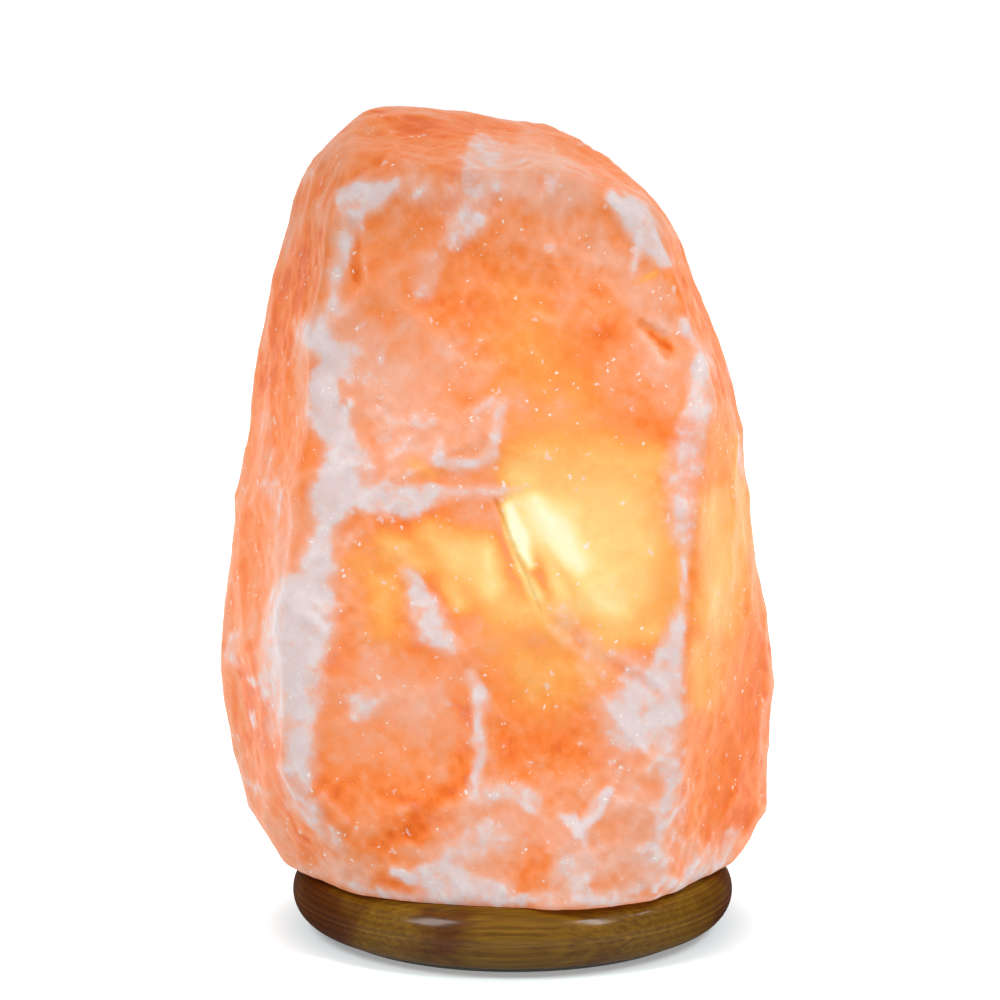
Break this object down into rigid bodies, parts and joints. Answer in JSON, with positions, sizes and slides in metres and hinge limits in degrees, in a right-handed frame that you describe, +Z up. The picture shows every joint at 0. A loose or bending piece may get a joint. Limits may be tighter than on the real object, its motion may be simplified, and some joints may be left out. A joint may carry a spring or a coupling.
{
  "type": "salt crystal lamp",
  "caption": "Rough block of pink rock salt on a round dark wooden base, bored from below for a small bulb in a clip-in lamp holder that pulls out downwards.",
  "frame": {"origin": "on the table, on the axis of the round base and of the bore for the bulb", "axes": "+Z up along the base's axis, front faces -Y, +X to the right of someone who looks at the front"},
  "size_m": [0.1461, 0.115, 0.2125],
  "materials": {
    "rock_salt": "cleaved rock salt, translucent pink and orange with white veins",
    "stained_wood": "turned wood, stained dark and lacquered",
    "felt": "pressed wool felt",
    "zinc_screw": "zinc plated",
    "plug_plastic": "moulded nylon",
    "holder_plastic": "moulded thermoset plastic",
    "insert_plastic": "moulded thermoset plastic",
    "brass": "rolled and turned brass",
    "spring_steel": "bright spring strip",
    "cap_metal": "rolled thread",
    "black_glass": "dark glass ring",
    "solder": "solder dome",
    "cement": "baked basing cement",
    "bulb_glass": "clear blown glass",
    "stem_glass": "clear glass",
    "wire": "drawn nickel-iron wire",
    "filament": "coiled tungsten"
  },
  "bodies": {
    "root": {"salt_crystal": "rock_salt", "wooden_base": "stained_wood", "base_felt": "felt", "base_screws": "zinc_screw", "screw_plugs": "plug_plastic"},
    "lamp_unit": {"holder_rear_cap": "holder_plastic", "cord_grip_screw": "zinc_screw", "holder_body": "holder_plastic", "holder_insulator": "insert_plastic", "threaded_shell": "brass", "shell_contact": "brass", "contact_rivet": "brass", "terminal_blocks": "brass", "terminal_screws": "zinc_screw", "clip_strap": "spring_steel", "clip_screws": "zinc_screw"},
    "wing_left": {"clip_wing_left": "spring_steel"},
    "wing_right": {"clip_wing_right": "spring_steel"},
    "tongue": {"centre_contact": "brass"},
    "bulb_carriage": {"bulb_tip_contact": "solder"},
    "bulb": {"bulb_insulator": "black_glass", "bulb_cap": "cap_metal", "bulb_cement": "cement", "bulb_glass": "bulb_glass", "bulb_stem": "stem_glass", "bulb_lead_wires": "wire", "bulb_supports": "wire", "bulb_filament": "filament"}
  },
  "joints": [
    {"name": "lamp_unit_slide", "type": "slide", "parent": "root", "child": "lamp_unit", "axis": [0, 0, -1], "range_m": [0, 0.1]},
    {"name": "wing_left_flex", "type": "hinge", "parent": "lamp_unit", "child": "wing_left", "pos_m": [-0.017, 0, 0.0086], "axis": [0, 1, 0], "range_deg": [0, 8], "stiffness_Nm_per_rad": 0.05},
    {"name": "wing_right_flex", "type": "hinge", "parent": "lamp_unit", "child": "wing_right", "pos_m": [0.017, 0, 0.0086], "axis": [0, -1, 0], "range_deg": [0, 8], "stiffness_Nm_per_rad": 0.05},
    {"name": "tongue_flex", "type": "hinge", "parent": "lamp_unit", "child": "tongue", "pos_m": [0, -0.0025, 0.0366], "axis": [-1, 0, 0], "range_deg": [0, 5], "stiffness_Nm_per_rad": 0.005},
    {"name": "bulb_rise", "type": "slide", "parent": "lamp_unit", "child": "bulb_carriage", "axis": [0, 0, 1], "range_m": [0, 0.0113]},
    {"name": "bulb_turn", "type": "hinge", "parent": "bulb_carriage", "child": "bulb", "pos_m": [0, 0, 0.0383], "axis": [0, 0, 1], "range_deg": [0, 1440]}
  ],
  "couplings": [
    {"joint": "bulb_rise", "follows": "bulb_turn", "m_per_rad": 0.00044913}
  ]
}
